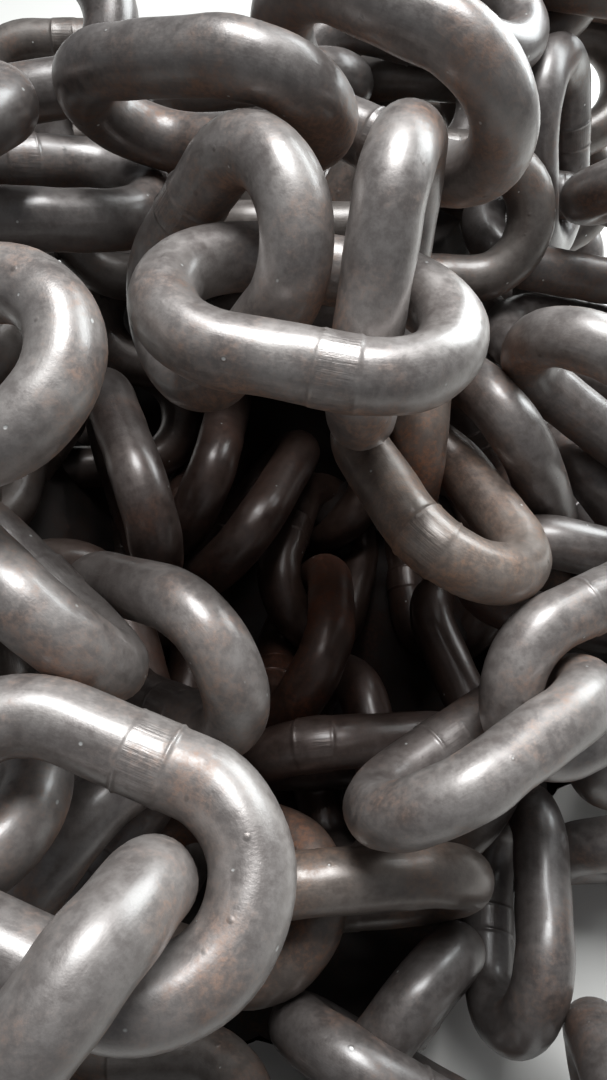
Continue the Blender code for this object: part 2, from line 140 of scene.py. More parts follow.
def link_pose(node):
    """Centre of a link, and its long, wide and flat axes as the columns of a matrix."""
    corners = np.array([vertex.co for vertex in node.data.vertices], dtype=float)
    corners = np.unique(np.round(corners, 5), axis=0)
    centre = corners.mean(axis=0)
    spread = corners - centre
    _, axes = np.linalg.eigh(spread.T @ spread)
    long_axis = axes[:, 2] * np.sign(axes[0, 2])
    wide_axis = axes[:, 1] * np.sign(axes[:, 1] @ (EYE - centre))
    return centre, np.column_stack((long_axis, wide_axis, np.cross(long_axis, wide_axis)))


poses = {name: link_pose(cad_nodes[name]) for name in link_names}
print("read", len(poses), "poses")

# %% [markdown]
# The link as a mesh
#
# A curve with a round bevel would give a smooth tube, but a perfect one. Here the tube is
# lofted ring by ring instead, so that every ring can have its own radius. Three things shape
# it: the bar is slightly oval where it was bent, scale and handling leave it a little uneven,
# and the butt weld stands out as a trimmed band between two thin ridges. Rings are packed
# close together only there.

# %% Rings along the bar, close together at the weld
RING_SPACING = 0.0034
RIDGE_SPACING = 0.0004
RIDGE_REACH = 0.0018
WELD_HALF_WIDTH = 0.0068


def ring_places(spacing):
    """Distances of the rings from the middle of the weld, all the way round the link."""
    count = round(track_length / spacing)
    places = track_length * (np.arange(count) / count - 0.5)
    fine = np.arange(-RIDGE_REACH, RIDGE_REACH + RIDGE_SPACING / 2, RIDGE_SPACING)
    for ridge in (-WELD_HALF_WIDTH, WELD_HALF_WIDTH):
        places = places[np.abs(places - ridge) > RIDGE_REACH + spacing / 4]
        places = np.concatenate((places, ridge + fine))
    return np.sort(places)


print(len(ring_places(RING_SPACING)), "rings on a link")

# %% Radius of the bar at each ring and angle
WAVES = 26
WAVE_ALONG = 15
WAVE_ROUND = 3
FINE_WAVE_LOSS = 0.15
UNEVENNESS = 0.00030
OVALITY = 0.014
UPSET = 0.00035
RIDGE_HEIGHT = 0.00060
RIDGE_WIDTH = 0.00075
RIDGE_WANDER = 0.0007


def uneven(places, angles, rng):
    """A gentle waviness that closes on itself along the bar and round it."""
    along = 2 * math.pi * places / track_length
    height = np.zeros(np.broadcast(along, angles).shape)
    for _ in range(WAVES):
        turns_along = rng.integers(1, WAVE_ALONG + 1)
        turns_round = rng.integers(-WAVE_ROUND, WAVE_ROUND + 1)
        share = rng.normal() / math.sqrt(WAVES * (1 + FINE_WAVE_LOSS * turns_along))
        start = rng.uniform(0, 2 * math.pi)
        height += share * np.cos(turns_along * along + turns_round * angles + start)
    return height


def bar_profile(places, angles, rng):
    """Radius of the bar for each ring (rows) and each angle round it (columns)."""
    bent = np.clip((np.abs(track(places)[0][:, :1]) - leg_length / 2) / bar_radius, 0, 1)
    radius = bar_radius * (1 - OVALITY * bent * np.cos(2 * angles))
    radius = radius + UNEVENNESS * uneven(places[:, None], angles, rng)
    band = 1 / (1 + np.exp((np.abs(places[:, None]) - WELD_HALF_WIDTH) / (RIDGE_WIDTH / 2)))
    radius = radius + UPSET * band
    for side in (-1, 1):
        wander = RIDGE_WANDER * np.sin(angles + rng.uniform(0, 2 * math.pi))
        strength = 0.5 + 0.5 * np.sin(2 * angles + rng.uniform(0, 2 * math.pi))
        away = places[:, None] - side * WELD_HALF_WIDTH - wander
        radius = radius + RIDGE_HEIGHT * strength * np.exp(-(away / RIDGE_WIDTH) ** 2)
    return radius


# %% Loft the rings into one closed mesh
def link_surface(pose, sides, spacing, weld_shift, rng):
    """Vertices, faces, and each face corner's place on the straight bar, for one link."""
    centre, axes = pose
    places = ring_places(spacing)
    angles = 2 * math.pi * np.arange(sides)[None] / sides
    radius = bar_profile(places, angles, rng)
    middle, out = track(places + weld_shift)
    sideways = radius * np.cos(angles)
    upward = radius * np.sin(angles)
    local = np.empty((len(places), sides, 3))
    local[..., :2] = middle[:, None] + out[:, None] * sideways[..., None]
    local[..., 2] = upward
    vertices = local.reshape(-1, 3) @ axes.T + centre
    ring = np.arange(len(places))[:, None]
    side = np.arange(sides)[None]
    next_ring, next_side = (ring + 1) % len(places), (side + 1) % sides
    corner_rings = np.stack(np.broadcast_arrays(ring, next_ring, next_ring, ring), axis=-1)
    corner_sides = np.stack(np.broadcast_arrays(side, side, next_side, next_side), axis=-1)
    corner_rings, corner_sides = np.broadcast_arrays(corner_rings, corner_sides)
    faces = (corner_rings * sides + corner_sides).reshape(-1, 4)
    distance = places[corner_rings] + track_length * ((corner_rings == 0) & (ring[..., None] > 0))
    bar_place = np.stack((distance, sideways[corner_rings, corner_sides],
                          upward[corner_rings, corner_sides]), axis=-1)
    return vertices, faces, bar_place.reshape(-1, 3)


def mesh_from(name, surfaces):
    """One mesh from the surfaces of one or more links."""
    first = np.cumsum([0] + [len(vertices) for vertices, _, _ in surfaces])
    vertices = np.concatenate([surface[0] for surface in surfaces])
    faces = np.concatenate([surface[1] + start for surface, start in zip(surfaces, first)])
    mesh = bpy.data.meshes.new(name)
    mesh.from_pydata(vertices.tolist(), [], faces.tolist())
    place = mesh.attributes.new("bar_place", "FLOAT_VECTOR", "CORNER")
    place.data.foreach_set("vector", np.concatenate([surface[2] for surface in surfaces]).ravel())
    mesh.shade_smooth()
    return mesh


# %% [markdown]
# Shader helpers
#
# Node trees are easier to read as short calls. So there is one helper that adds a node with its
# settings and plugs values or sockets into it, one that makes an empty group, and a short one
# for each kind of node that comes up again and again.

# %% Helpers for node trees
def add_node(tree, kind, inputs=None, **settings):
    """A new node with its settings, and with values or sockets plugged into its inputs."""
    node = tree.nodes.new(kind)
    for name, value in settings.items():
        setattr(node, name, value)
    for name, value in (inputs or {}).items():
        if isinstance(value, bpy.types.NodeSocket):
            tree.links.new(value, node.inputs[name])
        else:
            node.inputs[name].default_value = value
    return node


def new_group(name, inputs, outputs):
    """An empty shader node group with named sockets, and its input and output nodes."""
    group = bpy.data.node_groups.new(name, "ShaderNodeTree")
    for socket, kind, value in inputs:
        made = group.interface.new_socket(socket, in_out="INPUT", socket_type=kind)
        if value is not None:
            made.default_value = value
    for socket, kind in outputs:
        group.interface.new_socket(socket, in_out="OUTPUT", socket_type=kind)
    return group, group.nodes.new("NodeGroupInput"), group.nodes.new("NodeGroupOutput")


def remap(tree, value, low, high, to_low=0.0, to_high=1.0):
    """A value stretched from one range to another with soft ends, and held inside it."""
    node = add_node(tree, "ShaderNodeMapRange", {
        "Value": value, "From Min": low, "From Max": high, "To Min": to_low, "To Max": to_high},
        interpolation_type="SMOOTHSTEP")
    return node.outputs["Result"]


def maths(tree, operation, first, second=0.0):
    """One sum of two values or sockets."""
    return add_node(tree, "ShaderNodeMath", {0: first, 1: second}, operation=operation).outputs[0]


def mix_colour(tree, share, first, second, blend="MIX"):
    """One colour blended with another."""
    node = add_node(tree, "ShaderNodeMix", data_type="RGBA", blend_type=blend)
    for socket, value in ((0, share), (6, first), (7, second)):
        if isinstance(value, bpy.types.NodeSocket):
            tree.links.new(value, node.inputs[socket])
        else:
            node.inputs[socket].default_value = value
    return node.outputs[2]


def noise(tree, place, scale, detail=3.0, roughness=0.5):
    """Value of a noise texture."""
    return add_node(tree, "ShaderNodeTexNoise", {
        "Vector": place, "Scale": scale, "Detail": detail, "Roughness": roughness}).outputs["Fac"]


# %% [markdown]
# Mill scale
#
# Hot-rolled bar leaves the mill with a skin of blue-grey oxide. Handling wears it to a lighter
# satin grey in clouds a centimetre or two across, and oil fills the rest. One group makes that
# skin: two noises of different size mix a light and a dark grey, and the same two change the
# roughness, so that colour and gloss agree. The smaller one and a fine grit raise the surface.

# %% Node group: mill scale
CLOUD_SCALE = 42.0
CLOUD_RANGE = (0.32, 0.68)
CLOUD_SHARE = 0.55
MOTTLE_SCALE = 210.0
MOTTLE_RANGE = (0.36, 0.64)
MOTTLE_SHARE = 0.45
MOTTLE_RELIEF = 0.9
GLOSS_RANGE = (0.75, 1.25)
GRIT_SCALE = 950.0
GRIT_RELIEF = 0.6


def mill_scale_group():
    """Uneven oxide skin: its colour, roughness and height."""
    group, given, result = new_group(
        "mill_scale",
        [("Place", "NodeSocketVector", None),
         ("Light", "NodeSocketColor", (0.2, 0.2, 0.2, 1)),
         ("Dark", "NodeSocketColor", (0.1, 0.1, 0.1, 1)),
         ("Rough Low", "NodeSocketFloat", 0.35),
         ("Rough High", "NodeSocketFloat", 0.55)],
        [("Color", "NodeSocketColor"), ("Roughness", "NodeSocketFloat"), ("Height", "NodeSocketFloat")])
    clouds = noise(group, given.outputs["Place"], CLOUD_SCALE, 5.0, 0.6)
    mottle = noise(group, given.outputs["Place"], MOTTLE_SCALE, 6.0, 0.7)
    grit = noise(group, given.outputs["Place"], GRIT_SCALE, 3.0, 0.6)
    share = maths(group, "ADD",
                  remap(group, clouds, *CLOUD_RANGE, 0.0, CLOUD_SHARE),
                  remap(group, mottle, *MOTTLE_RANGE, 0.0, MOTTLE_SHARE))
    colour = mix_colour(group, share, given.outputs["Dark"], given.outputs["Light"])
    rough = maths(group, "ADD", given.outputs["Rough Low"], maths(
        group, "MULTIPLY", remap(group, maths(group, "ADD", mottle, clouds), *GLOSS_RANGE),
        maths(group, "SUBTRACT", given.outputs["Rough High"], given.outputs["Rough Low"])))
    height = maths(group, "ADD",
                   maths(group, "MULTIPLY", mottle, MOTTLE_RELIEF),
                   maths(group, "MULTIPLY", grit, GRIT_RELIEF))
    group.links.new(colour, result.inputs["Color"])
    group.links.new(rough, result.inputs["Roughness"])
    group.links.new(height, result.inputs["Height"])
    return group


MILL_SCALE = mill_scale_group()

# %% [markdown]
# Rust
#
# Rust starts where water stays: in blotches, and more on the sides that face down or sit
# against other bar. That extra on the down-facing sides is partly rust and partly painted shade,
# the undersides made browner and darker. The group takes a colour and returns it with rust laid
# over, together with the mask, because rust is also duller and rougher than oiled scale. Its
# edge is broken up by a fine noise, so that it frays into specks.

# %% Node group: rust
BLOTCH_SCALE = 30.0
FRAY_SCALE = 420.0
FRAY_RANGE = (0.35, 0.65)
FRAY_SHARE = 0.35
# How much more the down-facing sides get: partly rust, partly painted shade on the undersides
FACING_DOWN = (0.5, -0.7)
RUST_THRESHOLD = 1.05
RUST_EDGE = (-0.03, 0.30)


def rust_group():
    """Rust in frayed blotches, laid over a colour."""
    group, given, result = new_group(
        "rust",
        [("Place", "NodeSocketVector", None),
         ("Under", "NodeSocketColor", (0.2, 0.2, 0.2, 1)),
         ("Bright", "NodeSocketColor", (0.4, 0.2, 0.1, 1)),
         ("Deep", "NodeSocketColor", (0.1, 0.05, 0.04, 1)),
         ("Amount", "NodeSocketFloat", 0.5),
         ("Underside Rust And Shade", "NodeSocketFloat", 0.0)],
        [("Color", "NodeSocketColor"), ("Mask", "NodeSocketFloat")])
    blotch = noise(group, given.outputs["Place"], BLOTCH_SCALE, 5.0, 0.6)
    fray = noise(group, given.outputs["Place"], FRAY_SCALE, 4.0, 0.7)
    facing = add_node(group, "ShaderNodeSeparateXYZ", {
        "Vector": add_node(group, "ShaderNodeNewGeometry").outputs["Normal"]}).outputs["Z"]
    # Down-facing sides made browner and darker: rust, and painted shade
    down_facing_rust_and_shade = maths(group, "MULTIPLY", remap(group, facing, *FACING_DOWN), given.outputs["Underside Rust And Shade"])
    frayed = maths(group, "ADD", blotch, maths(group, "MULTIPLY", fray, FRAY_SHARE))
    level = maths(group, "ADD", frayed, down_facing_rust_and_shade)
    edge = maths(group, "SUBTRACT", RUST_THRESHOLD, given.outputs["Amount"])
    mask = remap(group, maths(group, "SUBTRACT", level, edge), *RUST_EDGE)
    tone = mix_colour(group, remap(group, fray, *FRAY_RANGE), given.outputs["Deep"], given.outputs["Bright"])
    group.links.new(mix_colour(group, mask, given.outputs["Under"], tone), result.inputs["Color"])
    group.links.new(mask, result.inputs["Mask"])
    return group


RUST = rust_group()

# %% [markdown]
# Marks of the bar itself
#
# Drawing, trimming and knocking leave marks that follow the bar and not the world. They need
# a coordinate that runs along the bent bar, which the mesh carries as bar_place: the distance
# from the weld, and the two places across the section. Stretching it along the bar makes the
# drawing lines, the first number alone finds the weld band, and small cells make the pits and
# the small raised knocked specks, whose pale colour is a painted glint.

# %% Node group: marks of the bar
LINE_STRETCH = (0.06, 1.0, 1.0)
LINE_SCALE = 900.0
LINE_HEIGHT = 0.25
TRIM_EDGE = 0.001
MARK_SCALE = 170.0
# For pits and specks: how far from a cell's middle they fade in, and which cells have one
PIT_EDGE = (0.24, 0.06)
PIT_CELLS = (0.90, 0.94)
PIT_DEPTH = 0.8
SPECK_EDGE = (0.14, 0.05)
SPECK_CELLS = (0.93, 0.95)
SPECK_HEIGHT = 0.6


def bar_marks_group():
    """Drawing lines, the trimmed weld band, pits, and raised specks with a painted glint."""
    group, given, result = new_group(
        "bar_marks",
        [("Bar Place", "NodeSocketVector", None)],
        [("Height", "NodeSocketFloat"), ("Weld", "NodeSocketFloat"),
         ("Pits", "NodeSocketFloat"), ("Glint Specks", "NodeSocketFloat")])
    place = given.outputs["Bar Place"]
    stretched = add_node(group, "ShaderNodeVectorMath", {0: place, 1: LINE_STRETCH}, operation="MULTIPLY")
    lines = noise(group, stretched.outputs[0], LINE_SCALE, 3.0, 0.6)
    along = add_node(group, "ShaderNodeSeparateXYZ", {"Vector": place}).outputs["X"]
    weld = remap(group, maths(group, "ABSOLUTE", along), WELD_HALF_WIDTH, WELD_HALF_WIDTH - TRIM_EDGE)
    trimmed = maths(group, "MULTIPLY", weld, maths(group, "SUBTRACT", lines, 0.5))
    cells = add_node(group, "ShaderNodeTexVoronoi", {"Vector": place, "Scale": MARK_SCALE, "Randomness": 1.0})
    chosen = add_node(group, "ShaderNodeSeparateColor", {"Color": cells.outputs["Color"]})
    pits = maths(group, "MULTIPLY", remap(group, cells.outputs["Distance"], *PIT_EDGE),
                 remap(group, chosen.outputs["Red"], *PIT_CELLS))
    glint_specks = maths(group, "MULTIPLY", remap(group, cells.outputs["Distance"], *SPECK_EDGE),
                   remap(group, chosen.outputs["Green"], *SPECK_CELLS))
    height = maths(group, "ADD", maths(group, "MULTIPLY", lines, LINE_HEIGHT), trimmed)
    height = maths(group, "SUBTRACT", height, maths(group, "MULTIPLY", pits, PIT_DEPTH))
    height = maths(group, "ADD", height, maths(group, "MULTIPLY", glint_specks, SPECK_HEIGHT))
    for name, value in (("Height", height), ("Weld", weld), ("Pits", pits), ("Glint Specks", glint_specks)):
        group.links.new(value, result.inputs[name])
    return group


BAR_MARKS = bar_marks_group()

# %% [markdown]
# Painted light on top, rust and painted shade in the middle
#
# On top of the heap the colour is made paler, which is painted light, and elsewhere a little
# darker, which is painted shade. Down in the hollow it is made browner and darker: the brown is
# rust from damp air, the darkening is painted shade. One group does both: a colour gets paler
# towards one point, the top of the heap, and browner and darker towards another, the middle of
# the hollow. The same noise makes the edges of both ragged.

# %% Node group: painted light on top, rust and painted shade in the middle
HOLLOW_MIDDLE = (0.0, 0.000, 0.06)
# Rust and painted shade: browner and darker within these distances of the hollow's middle
HOLLOW_SHADE_FROM = 0.12
HOLLOW_SHADE_TO = 0.235
# Painted light: paler towards this point at the top of the heap, and a little darker away from it as painted
# shade
LIT_TOP_MIDDLE = (0.04, -0.08, 0.30)
LIT_TOP_FROM = 0.12
LIT_TOP_TO = 0.27
PAINTED_LIGHT_GAIN = (1.75, 1.80, 1.80, 1)
PAINTED_SHADE_LOSS = (0.85, 0.85, 0.85, 1)
RAGGED_SCALE = 40.0
RAGGED_REACH = 0.05


def painted_light_and_hollow_shade_group():
    """A colour made pale near the top of the heap as painted light, and brown with painted shade down in the
    hollow.
    """
    group, given, result = new_group(
        "painted_light_and_hollow_shade",
        [("Place", "NodeSocketVector", None),
         ("Under", "NodeSocketColor", (0.2, 0.2, 0.2, 1)),
         ("Rust And Shade", "NodeSocketColor", (0.5, 0.3, 0.25, 1))],
        [("Color", "NodeSocketColor")])
    place, under = given.outputs["Place"], given.outputs["Under"]
    ragged = maths(group, "MULTIPLY", noise(group, place, RAGGED_SCALE, 3.0), RAGGED_REACH)
    from_hollow, from_top = (
        maths(group, "ADD", add_node(group, "ShaderNodeVectorMath", {0: place, 1: middle},
                                     operation="DISTANCE").outputs["Value"], ragged)
        for middle in (HOLLOW_MIDDLE, LIT_TOP_MIDDLE))
    share = remap(group, from_hollow, HOLLOW_SHADE_TO, HOLLOW_SHADE_FROM)
    # Painted light near the top of the heap, and painted shade a little darker elsewhere
    top_painted_light = mix_colour(group, remap(group, from_top, LIT_TOP_TO, LIT_TOP_FROM), PAINTED_SHADE_LOSS, PAINTED_LIGHT_GAIN)
    top_painted_colour = mix_colour(group, 1.0, under, top_painted_light, "MULTIPLY")
    # Rust brown and painted shade: the colour browned and darkened in the hollow
    hollow_rust_and_shade = mix_colour(group, 1.0, under, given.outputs["Rust And Shade"], "MULTIPLY")
    group.links.new(mix_colour(group, share, top_painted_colour, hollow_rust_and_shade), result.inputs["Color"])
    return group


PAINTED_LIGHT_AND_HOLLOW_SHADE = painted_light_and_hollow_shade_group()

# %% [markdown]
# Five finishes from the same groups
#
# Oiled scale, rusty bar, slightly browned bar, the dim iron inside the heap and the grit under
# it, whose near-black is painted shade, differ only in their numbers, so one function builds all
# five. The oil is a coat: a thin clear film that gives each satin highlight its white core, and
# that is missing where there is rust.

# %% Build a finish
# Brown of rust, darkened as painted shade, for the hollow
HOLLOW_RUST_AND_SHADE_TINT = (0.46, 0.31, 0.26, 1)
PIT_COLOUR = (0.09, 0.07, 0.06, 1)
PIT_SHARE = 0.45
# Painted glint: the pale colour of the raised specks
GLINT_COLOUR = (0.7, 0.7, 0.68, 1)
GLINT_SHARE = 0.8
RUST_ROUGHENS = 0.22
TRIM_SMOOTHS = 0.05
RUST_TAKES_OIL = 0.85
RUST_TAKES_METAL = 0.5
SCALE_RELIEF = 0.5
COAT_ROUGHNESS = 0.27
COAT_IOR = 1.85
BUMP_STRENGTH = 0.45
BUMP_DISTANCE = 0.0005


def iron_finish(name, light, dark, rust_bright, rust_deep, rust_amount, underside_rust_and_shade, rough, metallic, coat):
    """A Principled material of scale, rust and bar marks."""
    material = bpy.data.materials.new(name)
    material.use_nodes = True
    tree = material.node_tree
    shader = tree.nodes["Principled BSDF"]
    place = add_node(tree, "ShaderNodeTexCoord").outputs["Object"]
    bar_place = add_node(tree, "ShaderNodeAttribute", attribute_name="bar_place").outputs["Vector"]
    scale = add_node(tree, "ShaderNodeGroup", node_tree=MILL_SCALE)
    rust = add_node(tree, "ShaderNodeGroup", node_tree=RUST)
    marks = add_node(tree, "ShaderNodeGroup", node_tree=BAR_MARKS)
    for socket, value in (("Light", light), ("Dark", dark),
                          ("Rough Low", rough[0]), ("Rough High", rough[1])):
        scale.inputs[socket].default_value = value
    for socket, value in (("Bright", rust_bright), ("Deep", rust_deep), ("Amount", rust_amount),
                          ("Underside Rust And Shade", underside_rust_and_shade)):
        rust.inputs[socket].default_value = value
    tree.links.new(place, scale.inputs["Place"])
    tree.links.new(place, rust.inputs["Place"])
    tree.links.new(bar_place, marks.inputs["Bar Place"])
    tree.links.new(scale.outputs["Color"], rust.inputs["Under"])
    # Painted light near the top, rust and painted shade in the hollow
    middle = add_node(tree, "ShaderNodeGroup", node_tree=PAINTED_LIGHT_AND_HOLLOW_SHADE)
    middle.inputs["Rust And Shade"].default_value = HOLLOW_RUST_AND_SHADE_TINT
    tree.links.new(place, middle.inputs["Place"])
    tree.links.new(rust.outputs["Color"], middle.inputs["Under"])
    colour = mix_colour(tree, maths(tree, "MULTIPLY", marks.outputs["Pits"], PIT_SHARE),
                        middle.outputs["Color"], PIT_COLOUR)
    # A painted glint on each raised speck
    colour = mix_colour(tree, maths(tree, "MULTIPLY", marks.outputs["Glint Specks"], GLINT_SHARE),
                        colour, GLINT_COLOUR)
    rusted = rust.outputs["Mask"]
    roughness = maths(tree, "ADD", scale.outputs["Roughness"], maths(tree, "MULTIPLY", rusted, RUST_ROUGHENS))
    trimmed = maths(tree, "MULTIPLY", marks.outputs["Weld"], TRIM_SMOOTHS)
    roughness = maths(tree, "SUBTRACT", roughness, trimmed)
    oily = maths(tree, "SUBTRACT", 1.0, maths(tree, "MULTIPLY", rusted, RUST_TAKES_OIL))
    relief = maths(tree, "MULTIPLY", scale.outputs["Height"], SCALE_RELIEF)
    height = maths(tree, "ADD", relief, marks.outputs["Height"])
    bump = add_node(tree, "ShaderNodeBump", {
        "Height": height, "Strength": BUMP_STRENGTH, "Distance": BUMP_DISTANCE})
    tree.links.new(colour, shader.inputs["Base Color"])
    tree.links.new(roughness, shader.inputs["Roughness"])
    dulled = maths(tree, "MULTIPLY", rusted, RUST_TAKES_METAL * metallic)
    tree.links.new(maths(tree, "SUBTRACT", metallic, dulled), shader.inputs["Metallic"])
    tree.links.new(maths(tree, "MULTIPLY", oily, coat), shader.inputs["Coat Weight"])
    tree.links.new(bump.outputs["Normal"], shader.inputs["Normal"])
    shader.inputs["Coat Roughness"].default_value = COAT_ROUGHNESS
    shader.inputs["Coat IOR"].default_value = COAT_IOR
    return material


# %% The five finishes
FINISHES = {
    "oiled_iron": iron_finish(
        "oiled_iron", light=(0.205, 0.181, 0.171, 1), dark=(0.105, 0.087, 0.081, 1),
        rust_bright=(0.205, 0.12, 0.085, 1), rust_deep=(0.115, 0.074, 0.058, 1), rust_amount=0.36,
        underside_rust_and_shade=0.20, rough=(0.33, 0.52), metallic=0.40, coat=0.48),
    "rusty_iron": iron_finish(
        "rusty_iron", light=(0.22, 0.175, 0.15, 1), dark=(0.13, 0.10, 0.085, 1),
        rust_bright=(0.33, 0.15, 0.08, 1), rust_deep=(0.15, 0.08, 0.055, 1), rust_amount=0.44,
        underside_rust_and_shade=0.15, rough=(0.38, 0.52), metallic=0.45, coat=0.30),
    "browned_iron": iron_finish(
        "browned_iron", light=(0.20, 0.165, 0.145, 1), dark=(0.11, 0.085, 0.073, 1),
        rust_bright=(0.215, 0.125, 0.083, 1), rust_deep=(0.125, 0.078, 0.058, 1), rust_amount=0.43,
        underside_rust_and_shade=0.15, rough=(0.34, 0.52), metallic=0.40, coat=0.42),
    "buried_iron": iron_finish(
        "buried_iron", light=(0.19, 0.165, 0.15, 1), dark=(0.11, 0.09, 0.08, 1),
        rust_bright=(0.19, 0.10, 0.065, 1), rust_deep=(0.09, 0.055, 0.04, 1), rust_amount=0.34,
        underside_rust_and_shade=0.2, rough=(0.38, 0.55), metallic=0.45, coat=0.30),
    # Nearly black: painted shade for the deep gaps, on the grit under the links
    "painted_shade_grit": iron_finish(
        "painted_shade_grit", light=(0.040, 0.030, 0.026, 1), dark=(0.018, 0.014, 0.012, 1),
        rust_bright=(0.07, 0.035, 0.02, 1), rust_deep=(0.03, 0.017, 0.012, 1), rust_amount=0.40,
        underside_rust_and_shade=0.0, rough=(0.80, 0.95), metallic=0.0, coat=0.0),
}
print("finishes:", ", ".join(FINISHES))

# %% [markdown]
# The links that show
#
# Each packed link is replaced by its own smooth one in the same pose. Every link has its own
# seed, so no two are alike. The weld is on one leg, sometimes a little off its middle: on a few
# links it faces up, as in the photo, and on the others it is turned away.

# %% Make every link
SEED = 20261
LINK_SIDES = 28
# Which leg has the weld, and how far from the leg's middle it is
WELDS = {"crest_link_1": (1, 0.015), "knoll_link_1": (-1, 0.007), "right_link_2": (1, 0.0),
         "right_link_4": (1, 0.036), "right_link_5": (1, 0.0), "front_link_3": (1, 0.0),
         "front_link_5": (1, -0.037)}
HIDDEN_WELD = (-1, 0.0)
RUSTY_LINKS = ("front_link_6", "hollow_link_4", "crest_link_6")
BROWNED_LINKS = ("right_link_4", "front_link_4")


def turned_over(pose):
    """The same pose with the other leg first."""
    centre, axes = pose
    return centre, axes * np.array([1, -1, -1])


def make_piece(name, mesh, slot, nodes, finish=None):
    """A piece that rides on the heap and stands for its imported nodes, in its slot's finish or another."""
    mesh.materials.append(FINISHES[finish or slot])
    piece = bpy.data.objects.new(name, mesh)
    bpy.context.scene.collection.objects.link(piece)
    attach(piece, "root")
    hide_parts(*nodes)
    return piece


for number, name in enumerate(link_names):
    rng = np.random.default_rng(SEED + number)
    leg, shift = WELDS.get(name, HIDDEN_WELD)
    pose = poses[name] if leg > 0 else turned_over(poses[name])
    surface = link_surface(pose, LINK_SIDES, RING_SPACING, shift, rng)
    slot = "rusty_iron" if name in RUSTY_LINKS else "oiled_iron"
    finish = "browned_iron" if name in BROWNED_LINKS else slot
    make_piece(f"welded_{name}", mesh_from(f"welded_{name}", [surface]), slot, [name], finish)
print(f"{len(link_names)} links of {2 * len(surface[1])} triangles")

# %% [markdown]
# The chain inside the heap
#
# Between the links that show, one looks down on more chain, dim and brown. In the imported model
# those links are one solid, so they have no nodes to read a place from. They were laid as
# straight runs of hooked links, every second one turned a quarter, and then eased clear of the
# links that show. The same runs are laid here first.

# %% Lay the buried runs
STEP = 0.005
CORE_BITE = 0.0012
QUARTER_TURN = 90
# A run's first and last point in steps, its number of links, and the first one's roll in degrees
BURIED_RUNS = {
    "floor_left": ((-17, 12, 8), (-17, 74, 8), 4, 40),
    "floor_middle": ((3, 44, 8), (4, 76, 8), 2, 50),
    "floor_right": ((18, 11, 8), (18, 73, 8), 4, -45),
    "hollow_back": ((-22, 71, 29), (26, 71, 28), 3, 30),
    "hollow_left": ((-20, 23, 28), (-21, 39, 29), 1, 20),
    "left_top": ((-34, 12, 34), (-34, 82, 36), 4, 45),
    "left_high": ((-42, 42, 44), (-38, 90, 42), 3, 40),
    "back_slope": ((-24, 74, 40), (22, 74, 40), 3, 55),
    "back_low": ((-38, 100, 26), (38, 98, 26), 5, 45),
    "back_high": ((-38, 101, 39), (40, 101, 40), 5, 35),
    "back_crest": ((14, 101, 51), (44, 99, 50), 2, 60),
    "right_flank": ((45, 22, 10), (44, 84, 10), 4, 40),
    "knoll_low": ((-38, -8, 22), (-8, -8, 22), 2, 50),
    "right_inner": ((24, 60, 19), (27, 91, 19), 2, 35),
}


def run_links(first, last, count, first_roll):
    """Centres and axes of the links of one straight run."""
    first, last = np.array(first) * STEP, np.array(last) * STEP
    long_axis = (last - first) / np.linalg.norm(last - first)
    level = np.cross((0.0, 0.0, 1.0), long_axis)
    level /= np.linalg.norm(level)
    steep = np.cross(long_axis, level)
    for number in range(count):
        roll = math.radians(first_roll - QUARTER_TURN * (number % 2))
        wide_axis = math.cos(roll) * level + math.sin(roll) * steep
        centre = first + long_axis * (number + 0.5) * (INNER_LENGTH - CORE_BITE)
        flat_axis = np.cross(long_axis, wide_axis)
        yield centre + np.array(LAYOUT_ORIGIN), np.column_stack((long_axis, wide_axis, flat_axis))


run_names = [name for name, run in BURIED_RUNS.items() for _ in range(run[2])]
centres, axes = map(np.array, zip(*(link for run in BURIED_RUNS.values() for link in run_links(*run))))
print(len(centres), "buried links in", len(BURIED_RUNS), "runs")

# %% [markdown]
# Easing the links apart
#
# Runs that are laid blindly pass through each other and through the links that show. Each
# link's centreline becomes a ring of points here. Wherever two rings come nearer than one bar,
# the links are pushed and turned a little, away from that point, as a link would be that is
# shoved there. The links that show never move. After enough rounds hardly a crossing is left.

# %% Push overlapping links apart
RING_POINTS = 48
ROUNDS = 160
LARGEST_PUSH = 0.004
NEIGHBOUR_REACH = 1.15
BAR_GAP = 0.0003
FLOOR_GAP = 0.001
turning_arm = leg_length / 2 + bow_radius / 2
ring_track = np.pad(track(track_length * np.arange(RING_POINTS) / RING_POINTS)[0], ((0, 0), (0, 1)))


def ring_points(centres, axes):
    """Points along the centreline of every link."""
    return np.einsum("nij,kj->nki", axes, ring_track) + centres[:, None]


def spun(axes, spins):
    """Axes turned by small rotation vectors."""
    angle = np.linalg.norm(spins, axis=1)[:, None, None]
    x, y, z = spins.T
    nil = np.zeros_like(x)
    cross = np.stack((nil, -z, y, z, nil, -x, -y, x, nil), axis=-1).reshape(-1, 3, 3)
    safe = np.maximum(angle, 1e-9)
    return axes + (np.sin(angle) / safe * cross + (1 - np.cos(angle)) / safe ** 2 * cross @ cross) @ axes


def nearest_points(points, others):
    """Distance and nearest points of pairs of rings."""
    square = (points ** 2).sum(-1)[:, :, None] + (others ** 2).sum(-1)[:, None]
    square = square - 2 * points @ others.transpose(0, 2, 1)
    place = square.reshape(len(points), -1).argmin(axis=1)
    rows = np.arange(len(points))
    on_one, on_other = points[rows, place // RING_POINTS], others[rows, place % RING_POINTS]
    return np.linalg.norm(on_one - on_other, axis=1), on_one, on_other


